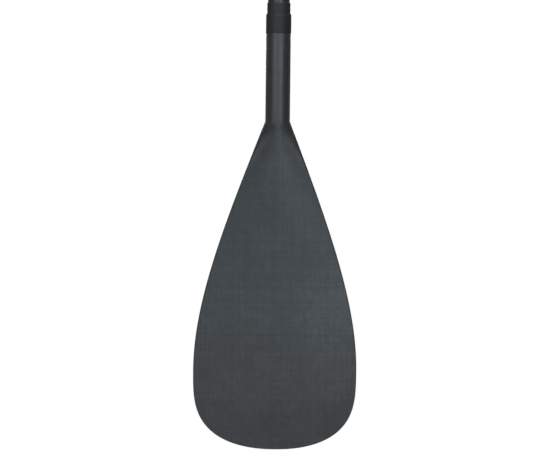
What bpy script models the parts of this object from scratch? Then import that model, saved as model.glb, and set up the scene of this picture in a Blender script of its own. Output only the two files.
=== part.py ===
"""Adjustable single blade paddle for stand-up paddling.

A carbon blade moulded in two laminates over a foam core, with a round neck that holds the
lower shaft, a telescoping upper shaft held by a cam clamp, and a T-grip on top.

+Z runs up the shaft, the power face looks along -Y, and X is across the blade. The origin is
on the shaft's axis at the top edge of the joint sleeve, where the bare lower shaft begins.
Lengths are written in millimetres and multiplied by MM when a mesh is made.
"""

import math

import bmesh
import bpy

MM = 0.001
GAP = 0.3
ROUND_STEPS = 40

# Shaft tubes
LOWER_SHAFT_R = 14.5
LOWER_SHAFT_BORE_R = 13.3
UPPER_SHAFT_R = 13.0
UPPER_SHAFT_BORE_R = 11.5

# Blade outline, seen from the front
NECK_R = 16.2
NECK_WALL = 1.4
NECK_RIM_Z = -16.0
FLARE_Z = -155.6
TIP_Z = -589.6
BLADE_LENGTH = FLARE_Z - TIP_Z
BLADE_HALF_WIDTH = 107.9
WIDEST_ABOVE_TIP = 105.5
TIP_ROUNDNESS = 2.22
TIP_FULLNESS = 3.3
SHOULDER_ANGLE = math.radians(21.1)
SHOULDER_REACH = 139.8
WIDEST_REACH = 91.5

# Blade section
BLADE_CANT = math.radians(10.0)
CANT_BEND_LENGTH = 130.0
LAMINATE = 1.35
EDGE_HALF = 1.5
EDGE_LAND = 0.45
THROAT_EDGE = 3.2
THROAT_FADE = 34.0
FRONT_THROAT_EDGE = 3.0
FRONT_THROAT_CROWN = 3.5
FRONT_THROAT_FADE = 62.0
EDGE_COLUMNS = (1.6, 0.4)
TIP_FADE = 40.0
NECK_EDGE_HALF = 0.15
WEB_CROWN_TIP = 1.0
WEB_CROWN_GAIN = 3.2
FRONT_FADE = 30.0
BACK_FADE = 85.0
SPINE_FLARE = 6.0
SPINE_TAPER = 10.0
STATIONS = 26
ACROSS = 18
CORE_GAP = 0.5
CORE_LEAST = 1.0

# Joint between neck and lower shaft
SHAFT_BOTTOM_Z = -110.0
SLEEVE_BOTTOM_Z = -40.0
SLEEVE_NARROW_R = 15.3
SLEEVE_WIDE_R = 16.75

# Clamp at the top of the lower shaft
SHAFT_TOP_Z = 660.0
COLLAR_BOTTOM_Z = 636.0
COLLAR_TOP_Z = 672.5
COLLAR_R = 18.2
COLLAR_BORE_R = LOWER_SHAFT_R + GAP
SLIT_HALF = 1.3
EAR_OUT_X = 9.5
EAR_TIP_Y = 33.0
BOLT_Y = 26.0
BOLT_Z = 653.0
BOLT_R = 2.5
LEVER_PIVOT_X = 19.0
LEVER_PIN_R = 2.0
CAM_R = 6.0
CAM_OFFSET = 0.9
CAM_GAP = 0.4
LEVER_HALF_HEIGHT = 8.0
LEVER_INNER_R = 19.2
LEVER_THICKNESS = 3.6
EYE_HALF_HEIGHT = 2.8

# Upper shaft and its stop
BULKHEAD_TOP_Z = 138.7
UPPER_BOTTOM_Z = 145.0
UPPER_TOP_Z = 1036.0
GROOVE_HALF = 1.3
GROOVE_DEPTH = 0.8

# T-grip
GRIP_BOTTOM_Z = 1036.3
GRIP_TOP_Z = 1110.4
GRIP_WALL = 1.8


def smoothstep(low, high, value):
    t = min(1.0, max(0.0, (value - low) / (high - low)))
    return t * t * (3 - 2 * t)


# ---------------------------------------------------------------- Blender helpers


def clear_scene():
    for obj in list(bpy.data.objects):
        bpy.data.objects.remove(obj, do_unlink=True)
    for mesh in list(bpy.data.meshes):
        bpy.data.meshes.remove(mesh)


def make_collection(name):
    collection = bpy.data.collections.new(name)
    bpy.context.scene.collection.children.link(collection)
    return collection


def make_material(name, colour, roughness, metallic=0.0):
    material = bpy.data.materials.new(name)
    material.use_nodes = True
    shader = material.node_tree.nodes["Principled BSDF"]
    shader.inputs["Base Color"].default_value = (*colour, 1.0)
    shader.inputs["Roughness"].default_value = roughness
    shader.inputs["Metallic"].default_value = metallic
    material.diffuse_color = (*colour, 1.0)
    return material


def add_object(name, mesh, material=None, cutter=False):
    """Links a mesh as a part, or as a hidden cutter."""
    obj = bpy.data.objects.new(name, mesh)
    (CUTTERS if cutter else PADDLE).objects.link(obj)
    if cutter:
        obj.hide_render = True
        obj.display_type = "WIRE"
    if material:
        mesh.materials.append(material)
    return obj


def mesh_of(name, points, faces):
    """A mesh from points in millimetres, with its faces turned outwards."""
    mesh = bpy.data.meshes.new(name)
    mesh.from_pydata([[c * MM for c in point] for point in points], [], faces)
    shape = bmesh.new()
    shape.from_mesh(mesh)
    bmesh.ops.remove_doubles(shape, verts=shape.verts, dist=0.002 * MM)
    bmesh.ops.recalc_face_normals(shape, faces=shape.faces)
    quads = [face for face in shape.faces if len(face.verts) == 4]
    bmesh.ops.triangulate(shape, faces=quads, quad_method="SHORT_EDGE")
    shape.to_mesh(mesh)
    shape.free()
    smooth(mesh)
    return mesh


def smooth(mesh, angle=35.0):
    mesh.shade_smooth()
    mesh.set_sharp_from_angle(angle=math.radians(angle))


def baked(obj):
    """Replaces an object's modifiers, or a curve, by the mesh that they make."""
    bpy.context.view_layer.update()
    graph = bpy.context.evaluated_depsgraph_get()
    mesh = bpy.data.meshes.new_from_object(obj.evaluated_get(graph))
    shape = bmesh.new()
    shape.from_mesh(mesh)
    bmesh.ops.remove_doubles(shape, verts=shape.verts, dist=0.002 * MM)
    shape.to_mesh(mesh)
    shape.free()
    smooth(mesh)
    name, matrix, collections = obj.name, obj.matrix_world.copy(), obj.users_collection
    hidden = obj.hide_render
    bpy.data.objects.remove(obj)
    made = bpy.data.objects.new(name, mesh)
    made.matrix_world = matrix
    made.hide_render = hidden
    made.display_type = "WIRE" if hidden else "TEXTURED"
    for collection in collections:
        collection.objects.link(made)
    return made


def turned(name, profile, material=None, steps=ROUND_STEPS, cutter=False):
    """A solid of revolution about Z. The profile (radius, height) runs down its outer side first."""
    mesh = bpy.data.meshes.new(name)
    count = len(profile)
    edges = [(i, (i + 1) % count) for i in range(count)]
    edges = [(a, b) for a, b in edges if profile[a][0] or profile[b][0]]
    mesh.from_pydata([(r * MM, 0, z * MM) for r, z in profile], edges, [])
    obj = add_object(name, mesh, material, cutter)
    screw = obj.modifiers.new("turn", "SCREW")
    screw.steps = steps
    screw.render_steps = steps
    screw.use_merge_vertices = True
    screw.merge_threshold = 0.01 * MM
    return baked(obj)


def tube(name, outer_r, inner_r, top, bottom, material=None, cutter=False):
    profile = [(outer_r, top), (outer_r, bottom), (inner_r, bottom), (inner_r, top)]
    return turned(name, profile, material, cutter=cutter)


def rod(name, radius, low, high, at=(0, 0), axis="Z", material=None, steps=32, cutter=True):
    """A cylinder along an axis. at is its centre in the plane across that axis."""
    mesh = bpy.data.meshes.new(name)
    shape = bmesh.new()
    bmesh.ops.create_cone(
        shape,
        cap_ends=True,
        segments=steps,
        radius1=radius * MM,
        radius2=radius * MM,
        depth=(high - low) * MM,
    )
    shape.to_mesh(mesh)
    shape.free()
    smooth(mesh)
    obj = add_object(name, mesh, material, cutter)
    middle = (low + high) / 2
    if axis == "X":
        obj.location = (middle * MM, at[0] * MM, at[1] * MM)
        obj.rotation_euler = (0, math.radians(90), 0)
    else:
        obj.location = (at[0] * MM, at[1] * MM, middle * MM)
    return obj


def block(name, low, high, material=None, cutter=True):
    """A box between two corners."""
    mesh = bpy.data.meshes.new(name)
    shape = bmesh.new()
    bmesh.ops.create_cube(shape, size=1.0)
    size = [(b - a) * MM for a, b in zip(low, high)]
    bmesh.ops.scale(shape, vec=size, verts=shape.verts)
    shape.to_mesh(mesh)
    shape.free()
    obj = add_object(name, mesh, material, cutter)
    obj.location = [(a + b) / 2 * MM for a, b in zip(low, high)]
    return obj


def combine(obj, operation, *others):
    for other in others:
        modifier = obj.modifiers.new(operation.lower(), "BOOLEAN")
        modifier.operation = operation
        modifier.object = other
        modifier.solver = "EXACT"
    return obj


def bevelled(obj, width, segments=2, angle=40.0):
    modifier = obj.modifiers.new("round edges", "BEVEL")
    modifier.width = width * MM
    modifier.segments = segments
    modifier.limit_method = "ANGLE"
    modifier.angle_limit = math.radians(angle)
    modifier.use_clamp_overlap = True
    return obj


def grid_faces(rows, columns, first=0):
    return [
        (
            first + i * columns + j,
            first + i * columns + j + 1,
            first + (i + 1) * columns + j + 1,
            first + (i + 1) * columns + j,
        )
        for i in range(rows - 1)
        for j in range(columns - 1)
    ]


def sheet_solid(name, outer, inner, material):
    """A closed wall between two grids of points that have the same rows and columns."""
    rows, columns = len(outer), len(outer[0])
    points = [p for row in outer for p in row] + [p for row in inner for p in row]
    shift = rows * columns
    faces = grid_faces(rows, columns) + grid_faces(rows, columns, shift)
    rim = [(i, 0) for i in range(rows)]
    rim += [(rows - 1, j) for j in range(1, columns)]
    rim += [(i, columns - 1) for i in range(rows - 2, -1, -1)]
    rim += [(0, j) for j in range(columns - 2, 0, -1)]
    rim = [i * columns + j for i, j in rim]
    for a, b in zip(rim, rim[1:] + rim[:1]):
        faces.append((a, b, b + shift, a + shift))
    return add_object(name, mesh_of(name, points, faces), material)


def loft_solid(name, loops, material=None, cutter=False):
    """A closed solid through loops that have the same number of points, capped at both ends."""
    count = len(loops[0])
    points = [p for loop in loops for p in loop]
    faces = []
    for i in range(len(loops) - 1):
        for j in range(count):
            k = (j + 1) % count
            faces.append((i * count + j, i * count + k, (i + 1) * count + k, (i + 1) * count + j))
    faces.append(tuple(range(count)))
    faces.append(tuple((len(loops) - 1) * count + j for j in range(count)))
    return add_object(name, mesh_of(name, points, faces), material, cutter)


# ---------------------------------------------------------------- blade


def bezier(a, b, c, d, t):
    s = 1 - t
    return s**3 * a + 3 * s * s * t * b + 3 * s * t * t * c + t**3 * d


def outline_half_width(z):
    """Half the blade's width at a height: a superellipse at the tip and one curve up to the neck."""
    above_tip = z - TIP_Z
    if above_tip >= BLADE_LENGTH:
        return NECK_R
    if above_tip <= WIDEST_ABOVE_TIP:
        share = 1 - above_tip / WIDEST_ABOVE_TIP
        return BLADE_HALF_WIDTH * (1 - share**TIP_FULLNESS) ** (1 / TIP_ROUNDNESS)
    shoulder_x = NECK_R + SHOULDER_REACH * math.sin(SHOULDER_ANGLE)
    shoulder_s = BLADE_LENGTH - SHOULDER_REACH * math.cos(SHOULDER_ANGLE)
    low, high = 0.0, 1.0
    for _ in range(40):
        t = (low + high) / 2
        s = bezier(BLADE_LENGTH, shoulder_s, WIDEST_ABOVE_TIP + WIDEST_REACH, WIDEST_ABOVE_TIP, t)
        low, high = (t, high) if s > above_tip else (low, t)
    return bezier(NECK_R, shoulder_x, BLADE_HALF_WIDTH, BLADE_HALF_WIDTH, t)


def parting_y(z):
    """Where the two laminates meet: straight down the neck, then bent back to the cant."""
    depth = max(0.0, FLARE_Z - z)
    t = min(1.0, depth / CANT_BEND_LENGTH)
    bent = CANT_BEND_LENGTH * (t**3 - t**4 / 2)
    return math.tan(BLADE_CANT) * (bent + max(0.0, depth - CANT_BEND_LENGTH))


def edge_distance(x, z):
    """How far a point of the blade is from the outline, seen from the front."""
    aside = outline_half_width(z) - abs(x)
    if z - TIP_Z > WIDEST_ABOVE_TIP:
        return aside
    share = 1 - min(1.0, abs(x) / BLADE_HALF_WIDTH) ** TIP_ROUNDNESS
    rise = z - TIP_Z - WIDEST_ABOVE_TIP * (1 - share ** (1 / TIP_FULLNESS))
    return max(0.0, aside * rise / max(1e-9, math.hypot(aside, rise)))


def throat_fade(depth):
    return math.exp(-((depth / FRONT_THROAT_FADE) ** 1.5))


def edge_thickness(side, depth):
    """Half the edge's thickness. On the power face it starts as the side of the neck and fades slowly."""
    if side < 0:
        return EDGE_HALF + FRONT_THROAT_EDGE * throat_fade(depth)
    return EDGE_HALF + THROAT_EDGE * math.exp(-depth / THROAT_FADE)


def section_point(side, z, angle):
    """Outer surface at a height, as x and y. angle runs from -90 at the left edge to 90 at the right.

    side is -1 for the power face and 1 for the back. In the neck both are half circles. Below
    it the power face soon flattens, and the back keeps a spine that fades down the blade.
    """
    depth = max(0.0, FLARE_Z - z)
    width = outline_half_width(z)
    u = math.sin(angle)
    x = width * u
    inside = max(0.0, 1 - u * u)
    thickness = edge_thickness(side, depth)
    nose = math.sqrt(1 - (1 - min(1.0, edge_distance(x, z) / thickness)) ** 2)
    rise = smoothstep(0, 26, depth) if side < 0 else smoothstep(-24, 8, FLARE_Z - z)
    edge = NECK_EDGE_HALF + (EDGE_LAND + (thickness - EDGE_LAND) * nose - NECK_EDGE_HALF) * rise
    neck = NECK_R - NECK_EDGE_HALF - (thickness - NECK_EDGE_HALF) * rise
    web = WEB_CROWN_TIP + WEB_CROWN_GAIN * (1 - depth / BLADE_LENGTH)
    web *= smoothstep(0, TIP_FADE, z - TIP_Z) * smoothstep(0, 40, depth)
    if side < 0:
        web += FRONT_THROAT_CROWN * smoothstep(0, 40, depth) * throat_fade(depth)
        crown = web + (neck - web) * math.exp(-((depth / FRONT_FADE) ** 2))
        height = edge + crown * inside ** (0.5 + 0.5 * smoothstep(0, 26, depth))
        return x, parting_y(z) - height
    ridge = neck * math.exp(-((depth / BACK_FADE) ** 1.1))
    base = NECK_R + SPINE_FLARE * smoothstep(0, 50, depth)
    base -= SPINE_TAPER * smoothstep(50, 300, depth)
    base = min(base, width)
    power = 0.5 + 1.0 * smoothstep(0, 45, depth)
    spine = ridge * max(0.0, 1 - (x / base) ** 2) ** power
    return x, parting_y(z) + edge + web * inside + spine


def inner_point(side, z, angle, beyond=0.0):
    """A laminate's inner surface: the same point moved into the blade, square to the outline."""
    wall = NECK_WALL + (LAMINATE - NECK_WALL) * smoothstep(0, 60, FLARE_Z - z) + beyond
    step = math.radians(0.5)
    angle = max(-math.pi / 2 + step, min(math.pi / 2 - step, angle))
    x0, y0 = section_point(side, z, angle - step)
    x1, y1 = section_point(side, z, angle + step)
    x, y = section_point(side, z, angle)
    length = math.hypot(x1 - x0, y1 - y0)
    tx, ty = (x1 - x0) / length, (y1 - y0) / length
    return x + side * ty * wall, y - side * tx * wall


def blade_stations():
    """Heights down the blade: close together at both ends, and twice as close round the tip."""
    low = TIP_Z + 0.3
    middle, half = (FLARE_Z + low) / 2, (FLARE_Z - low) / 2
    heights = [middle + half * math.cos(math.pi * i / STATIONS) for i in range(STATIONS + 1)]
    tip = heights[-6:]
    between = [(a + b) / 2 for a, b in zip(tip, tip[1:])]
    return sorted(heights + between, reverse=True)


def across_angles(z, limit=math.pi / 2):
    """Angles across a section: even round the neck, and closer together at the spine below it.

    Two columns a side follow the rounded edge.
    """
    width = outline_half_width(z)
    last, edge = (math.asin(1 - inset / width) for inset in EDGE_COLUMNS)
    gather = 0.5 * smoothstep(0, 60, FLARE_Z - z)
    shares = [2 * j / ACROSS - 1 for j in range(ACROSS + 1)]
    angles = [last * (share * (1 - gather) + share**3 * gather) for share in shares]
    angles = [-math.pi / 2, -edge, *angles, edge, math.pi / 2]
    return [min(limit, max(-limit, angle)) for angle in angles]


def make_laminate(name, side, material):
    heights = [NECK_RIM_Z, (NECK_RIM_Z + FLARE_Z) / 2]
    heights += blade_stations()
    outer, inner = [], []
    for z in heights:
        middle = parting_y(z)
        angles = across_angles(z)
        outer.append([(*section_point(side, z, angle), z) for angle in angles])
        row = []
        for angle in angles:
            x, y = inner_point(side, z, angle)
            row.append((x, middle + side * max(side * (y - middle), GAP / 2), z))
        inner.append(row)
    return sheet_solid(name, outer, inner, material)


def core_point(side, z, angle):
    return (*inner_point(side, z, angle, CORE_GAP), z)


def core_limit(z, least):
    """The widest angle at which the hollow between the laminates is still thick enough for foam."""
    low, high = 0.0, math.pi / 2
    for _ in range(30):
        angle = (low + high) / 2
        thickness = core_point(1, z, angle)[1] - core_point(-1, z, angle)[1]
        low, high = (angle, high) if thickness > least else (low, angle)
    return low


def make_blade_core(material):
    """The foam core: it fills the hollow between the laminates and stops short of the edges."""
    loops = []
    for z in blade_stations():
        limit = core_limit(z, CORE_LEAST)
        if z > FLARE_Z - 16.0 or limit < 0.5:
            continue
        angles = across_angles(z, limit)
        front = [core_point(-1, z, a) for a in angles]
        back = [core_point(1, z, a) for a in reversed(angles)]
        loops.append(front + back)
    return loft_solid("blade_core", loops, material)


# ---------------------------------------------------------------- shafts and neck joint


def make_neck_joint():
    turned(
        "joint_sleeve",
        [
            (SLEEVE_NARROW_R, 0.0),
            (SLEEVE_NARROW_R, NECK_RIM_Z + 4.4),
            (SLEEVE_NARROW_R + 0.25, NECK_RIM_Z + 3.4),
            (SLEEVE_WIDE_R - 0.45, NECK_RIM_Z + 1.4),
            (SLEEVE_WIDE_R - 0.13, NECK_RIM_Z + 0.1),
            (SLEEVE_WIDE_R, NECK_RIM_Z - 2.0),
            (SLEEVE_WIDE_R, SLEEVE_BOTTOM_Z),
            (NECK_R + 0.15, SLEEVE_BOTTOM_Z),
            (NECK_R + 0.15, NECK_RIM_Z + GAP),
            (LOWER_SHAFT_R + 0.1, NECK_RIM_Z + GAP),
            (LOWER_SHAFT_R + 0.1, 0.0),
        ],
        SHRINK,
    )
    plug_r = NECK_R - NECK_WALL - GAP
    turned(
        "neck_plug",
        [
            (0, SHAFT_BOTTOM_Z - GAP),
            (plug_r - 1, SHAFT_BOTTOM_Z - GAP),
            (plug_r, SHAFT_BOTTOM_Z - 1.5),
            (plug_r, FLARE_Z + 8),
            (plug_r - 1, FLARE_Z + 7),
            (0, FLARE_Z + 7),
        ],
        FOAM,
        steps=24,
    )


def make_lower_shaft():
    shaft = tube(
        "lower_shaft", LOWER_SHAFT_R, LOWER_SHAFT_BORE_R, SHAFT_TOP_Z, SHAFT_BOTTOM_Z, CARBON_TUBE
    )
    slot_bottom = COLLAR_BOTTOM_Z - 6
    slots = []
    for turn in (90, 210, 330):
        slot = block(f"shaft_slot_{turn}", (10, -0.8, slot_bottom), (20, 0.8, SHAFT_TOP_Z + 5))
        slot.location = (
            15 * MM * math.cos(math.radians(turn)),
            15 * MM * math.sin(math.radians(turn)),
            slot.location.z,
        )
        slot.rotation_euler = (0, 0, math.radians(turn))
        slots.append(slot)
    combine(shaft, "DIFFERENCE", *slots)
    bulkhead_r = LOWER_SHAFT_BORE_R - GAP
    turned(
        "shaft_bulkhead",
        [
            (0, BULKHEAD_TOP_Z),
            (bulkhead_r, BULKHEAD_TOP_Z),
            (bulkhead_r, BULKHEAD_TOP_Z - 30),
            (0, BULKHEAD_TOP_Z - 30),
        ],
        FOAM,
        steps=24,
    )


def make_upper_shaft():
    """The telescoping tube, with the groove that stops it turning and the bush at its foot."""
    shaft = tube(
        "upper_shaft", UPPER_SHAFT_R, UPPER_SHAFT_BORE_R, UPPER_TOP_Z, UPPER_BOTTOM_Z, CARBON_TUBE
    )
    groove = block(
        "groove_cutter",
        (-GROOVE_HALF, -UPPER_SHAFT_R - 3, UPPER_BOTTOM_Z - 5),
        (GROOVE_HALF, -UPPER_SHAFT_R + GROOVE_DEPTH, UPPER_TOP_Z - 40),
    )
    combine(shaft, "DIFFERENCE", groove)
    bush_r = LOWER_SHAFT_BORE_R - 0.2
    spigot_r = UPPER_SHAFT_BORE_R - 0.2
    foot = BULKHEAD_TOP_Z + GAP
    collar_top = UPPER_BOTTOM_Z - GAP
    turned(
        "guide_bush",
        [
            (spigot_r, UPPER_BOTTOM_Z + 24),
            (spigot_r, collar_top),
            (bush_r, collar_top),
            (bush_r, foot + 4.3),
            (bush_r - 1.1, foot + 4.3),
            (bush_r - 1.1, foot + 1.7),
            (bush_r, foot + 1.7),
            (bush_r, foot + 0.6),
            (bush_r - 0.6, foot),
            (8.0, foot),
            (8.0, UPPER_BOTTOM_Z + 24),
        ],
        NYLON,
        steps=32,
    )
    ring_r = LOWER_SHAFT_BORE_R - 0.15 - 0.5
    ring = [
        (ring_r + 0.5 * math.cos(a), foot + 3.0 + 1.0 * math.sin(a))
        for a in (math.pi / 2 - math.tau * i / 6 for i in range(6))
    ]
    turned("guide_o_ring", ring, RUBBER, steps=32)


# ---------------------------------------------------------------- clamp


def make_collar():
    """The split ring that squeezes the slotted end of the lower shaft, with its two ears."""
    lip = COLLAR_TOP_Z - 2.2
    collar = turned(
        "clamp_collar",
        [
            (COLLAR_R - 1.6, COLLAR_TOP_Z),
            (COLLAR_R - 0.4, COLLAR_TOP_Z - 1.2),
            (COLLAR_R, COLLAR_TOP_Z - 3),
            (COLLAR_R, COLLAR_BOTTOM_Z + 1.2),
            (COLLAR_R - 0.6, COLLAR_BOTTOM_Z),
            (COLLAR_BORE_R, COLLAR_BOTTOM_Z),
            (COLLAR_BORE_R, lip),
            (UPPER_SHAFT_R + 0.6, lip),
            (UPPER_SHAFT_R + 0.6, COLLAR_TOP_Z),
        ],
        CLAMP_PLASTIC,
    )
    ear_low, ear_high = BOLT_Z - 9.5, BOLT_Z + 9.5
    ears = block("collar_ears", (-EAR_OUT_X, 15.5, ear_low), (EAR_OUT_X, EAR_TIP_Y, ear_high))
    bevelled(ears, 3.0, segments=3)
    slit = block(
        "collar_slit",
        (-SLIT_HALF, 10, COLLAR_BOTTOM_Z - 5),
        (SLIT_HALF, EAR_TIP_Y + 5, COLLAR_TOP_Z + 5),
    )
    hole = rod("collar_bolt_hole", BOLT_R + GAP, -20, 20, (BOLT_Y, BOLT_Z), "X")
    combine(collar, "UNION", ears)
    combine(collar, "DIFFERENCE", slit, hole)
    liner = tube(
        "clamp_liner",
        COLLAR_BORE_R - GAP,
        LOWER_SHAFT_BORE_R,
        lip - GAP,
        SHAFT_TOP_Z + GAP,
        NYLON,
    )
    liner_slit = block(
        "liner_slit", (-SLIT_HALF, 10, SHAFT_TOP_Z - 5), (SLIT_HALF, 20, COLLAR_TOP_Z)
    )
    key = block(
        "liner_key",
        (-GROOVE_HALF + 0.4, -LOWER_SHAFT_R + 0.4, SHAFT_TOP_Z + GAP),
        (GROOVE_HALF - 0.4, -UPPER_SHAFT_R + GROOVE_DEPTH - GAP, lip - GAP),
    )
    combine(liner, "DIFFERENCE", liner_slit)
    combine(liner, "UNION", key)


def make_tension_bolt():
    """The bolt through the ears, with an eye for the lever's pin at one end."""
    eye_r = 4.6
    bolt = rod(
        "tension_bolt",
        eye_r,
        BOLT_Z - EYE_HALF_HEIGHT,
        BOLT_Z + EYE_HALF_HEIGHT,
        (LEVER_PIVOT_X, BOLT_Y),
        material=STEEL,
        cutter=False,
    )
    shank = rod("bolt_shank", BOLT_R, -23.5, LEVER_PIVOT_X - 2.5, (BOLT_Y, BOLT_Z), "X", steps=24)
    bore = rod("bolt_eye_bore", LEVER_PIN_R + 0.15, BOLT_Z - 10, BOLT_Z + 10, (LEVER_PIVOT_X, BOLT_Y))
    combine(bolt, "UNION", shank)
    combine(bolt, "DIFFERENCE", bore)
    rod(
        "lever_pin",
        LEVER_PIN_R,
        BOLT_Z - LEVER_HALF_HEIGHT - 0.3,
        BOLT_Z + LEVER_HALF_HEIGHT + 0.3,
        (LEVER_PIVOT_X, BOLT_Y),
        material=STEEL,
        cutter=False,
    )
    saddle = block(
        "cam_saddle",
        (EAR_OUT_X + GAP, BOLT_Y - 4.0, BOLT_Z - 7.5),
        (EAR_OUT_X + 3.2, BOLT_Y + 4.0, BOLT_Z + 7.5),
        NYLON,
        cutter=False,
    )
    cam_x = LEVER_PIVOT_X - CAM_OFFSET
    seat = rod(
        "saddle_seat", CAM_R + CAM_GAP, BOLT_Z - 12, BOLT_Z + 12, (cam_x, BOLT_Y), steps=64
    )
    hole = rod("saddle_hole", BOLT_R + GAP, 0, 20, (BOLT_Y, BOLT_Z), "X", steps=24)
    combine(saddle, "DIFFERENCE", seat, hole)


def lever_outline():
    """The closed lever from above: the cam, then an arm that wraps round the collar to its front."""
    cam_x, cam_y = LEVER_PIVOT_X - CAM_OFFSET, BOLT_Y
    outer_r = LEVER_INNER_R + LEVER_THICKNESS
    points = []
    for i in range(17):
        angle = math.radians(-90 - 270 * i / 16)
        points.append((cam_x + CAM_R * math.cos(angle), cam_y + CAM_R * math.sin(angle)))
    for i in range(12):
        angle = math.radians(22 - 92 * i / 11)
        flick = 2.4 * smoothstep(-45, -70, math.degrees(angle))
        radius = outer_r + flick
        points.append((radius * math.cos(angle), radius * math.sin(angle)))
    tip = math.radians(-74)
    points.append(((outer_r + 1.2) * math.cos(tip), (outer_r + 1.2) * math.sin(tip)))
    for i in range(12):
        angle = math.radians(-70 + 97 * i / 11)
        flick = 2.4 * smoothstep(-45, -70, math.degrees(angle))
        radius = LEVER_INNER_R + flick
        points.append((radius * math.cos(angle), radius * math.sin(angle)))
    return points


def make_lever():
    curve = bpy.data.curves.new("clamp_lever", "CURVE")
    curve.dimensions = "2D"
    curve.fill_mode = "BOTH"
    curve.extrude = LEVER_HALF_HEIGHT * MM
    spline = curve.splines.new("POLY")
    outline = lever_outline()
    spline.points.add(len(outline) - 1)
    for point, (x, y) in zip(spline.points, outline):
        point.co = ((x - LEVER_PIVOT_X) * MM, (y - BOLT_Y) * MM, 0, 1)
    spline.use_cyclic_u = True
    curve.materials.append(CLAMP_PLASTIC)
    lever = bpy.data.objects.new("clamp_lever", curve)
    lever.location = (LEVER_PIVOT_X * MM, BOLT_Y * MM, BOLT_Z * MM)
    PADDLE.objects.link(lever)
    lever = baked(lever)
    slot_half = EYE_HALF_HEIGHT + GAP
    pivot = (LEVER_PIVOT_X, BOLT_Y)
    slot = rod("lever_slot", CAM_R + CAM_OFFSET + 0.6, BOLT_Z - slot_half, BOLT_Z + slot_half, pivot)
    bore = rod("lever_bore", LEVER_PIN_R + GAP, BOLT_Z - 20, BOLT_Z + 20, pivot)
    bevelled(lever, 0.8, segments=1, angle=60.0)
    combine(lever, "DIFFERENCE", slot, bore)


def make_thumb_nut():
    """The knurled nut that sets the clamp's tension, and the washer behind it."""
    face_x = -EAR_OUT_X - GAP
    washer = rod("nut_washer", 7.0, face_x - 1.2, face_x, (BOLT_Y, BOLT_Z), "X", STEEL, cutter=False)
    hole = rod("washer_hole", BOLT_R + GAP, -40, 0, (BOLT_Y, BOLT_Z), "X")
    combine(washer, "DIFFERENCE", hole)
    outline = []
    for i in range(48):
        angle = math.tau * i / 48
        radius = 8.1 + 0.45 * math.cos(12 * angle)
        outline.append((radius * math.cos(angle), radius * math.sin(angle)))
    near, far = face_x - 1.2 - GAP, face_x - 1.2 - GAP - 9.0
    layers = [(near, 0.86), (near - 0.9, 1.0), (far + 1.4, 1.0), (far, 0.8)]
    loops = [[(x, share * a, share * b) for a, b in outline] for x, share in layers]
    nut = loft_solid("thumb_nut", loops, CLAMP_PLASTIC)
    nut.location = (0, BOLT_Y * MM, BOLT_Z * MM)
    nut_hole = rod("nut_hole", BOLT_R + GAP, -40, 0, (BOLT_Y, BOLT_Z), "X")
    combine(nut, "DIFFERENCE", nut_hole)


# ---------------------------------------------------------------- T-grip

# Height above the grip's foot, half width, half depth
GRIP_SECTIONS = (
    (0.0, 13.0, 13.0),
    (12.0, 13.1, 13.1),
    (22.0, 13.6, 13.4),
    (29.0, 15.2, 13.8),
    (34.0, 18.4, 14.2),
    (38.5, 24.5, 14.6),
    (42.0, 32.5, 14.9),
    (45.5, 42.0, 15.0),
    (49.5, 50.0, 15.0),
    (54.0, 54.6, 14.8),
    (59.0, 56.0, 14.2),
    (63.5, 53.5, 12.9),
    (67.5, 47.5, 10.8),
    (70.5, 39.0, 8.2),
    (72.8, 28.0, 5.2),
    (74.1, 14.0, 2.2),
)


def grip_loops(inset, extend=0.0):
    """Sections of the grip, shrunk by inset. The lowest section is lengthened down by extend."""
    loops = []
    for height, half_width, half_depth in GRIP_SECTIONS:
        if half_depth - inset < 1.0:
            continue
        z = GRIP_BOTTOM_Z + min(height, GRIP_SECTIONS[-1][0] - inset)
        if height == 0:
            z -= extend
        a, b = half_width - inset, half_depth - inset
        loop = []
        for j in range(28):
            angle = math.tau * j / 28
            loop.append((a * math.cos(angle), b * math.sin(angle), z))
        loops.append(loop)
    return loops


def make_grip():
    """Two moulded shells round a foam filler, on a stem that is bonded into the upper shaft."""
    stem_r = UPPER_SHAFT_BORE_R - 0.4
    stem_top = GRIP_BOTTOM_Z + 30
    hollow = loft_solid("grip_hollow", grip_loops(GRIP_WALL, extend=10), cutter=True)
    reach, far = 80, 40
    for name, side in (("grip_front_shell", -1), ("grip_rear_shell", 1)):
        shell = loft_solid(name, grip_loops(0.0), GRIP_SHELL)
        near_y, far_y = sorted((side * GAP / 2, -side * far))
        other_half = block(
            f"{name}_cut", (-reach, near_y, GRIP_BOTTOM_Z - 20), (reach, far_y, GRIP_TOP_Z + 20)
        )
        combine(shell, "DIFFERENCE", hollow, other_half)
    filler = loft_solid("grip_filler", grip_loops(GRIP_WALL + GAP + 0.2), FOAM)
    below = block("filler_cut", (-40, -40, GRIP_BOTTOM_Z - 20), (40, 40, stem_top + GAP))
    combine(filler, "DIFFERENCE", below)
    tube("grip_stem", stem_r, stem_r - 2.0, stem_top, UPPER_TOP_Z - 55, NYLON)
    turned(
        "grip_sleeve",
        [
            (UPPER_SHAFT_R + 0.5, GRIP_BOTTOM_Z + 9.8),
            (UPPER_SHAFT_R + 0.7, GRIP_BOTTOM_Z + 9.0),
            (UPPER_SHAFT_R + 0.7, GRIP_BOTTOM_Z - 19.2),
            (UPPER_SHAFT_R + 0.5, GRIP_BOTTOM_Z - 20.0),
            (UPPER_SHAFT_R + 0.15, GRIP_BOTTOM_Z - 20.0),
            (UPPER_SHAFT_R + 0.15, GRIP_BOTTOM_Z + 9.8),
        ],
        SHRINK,
    )


clear_scene()
PADDLE = make_collection("single_blade_paddle")
CUTTERS = make_collection("cutters")

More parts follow.
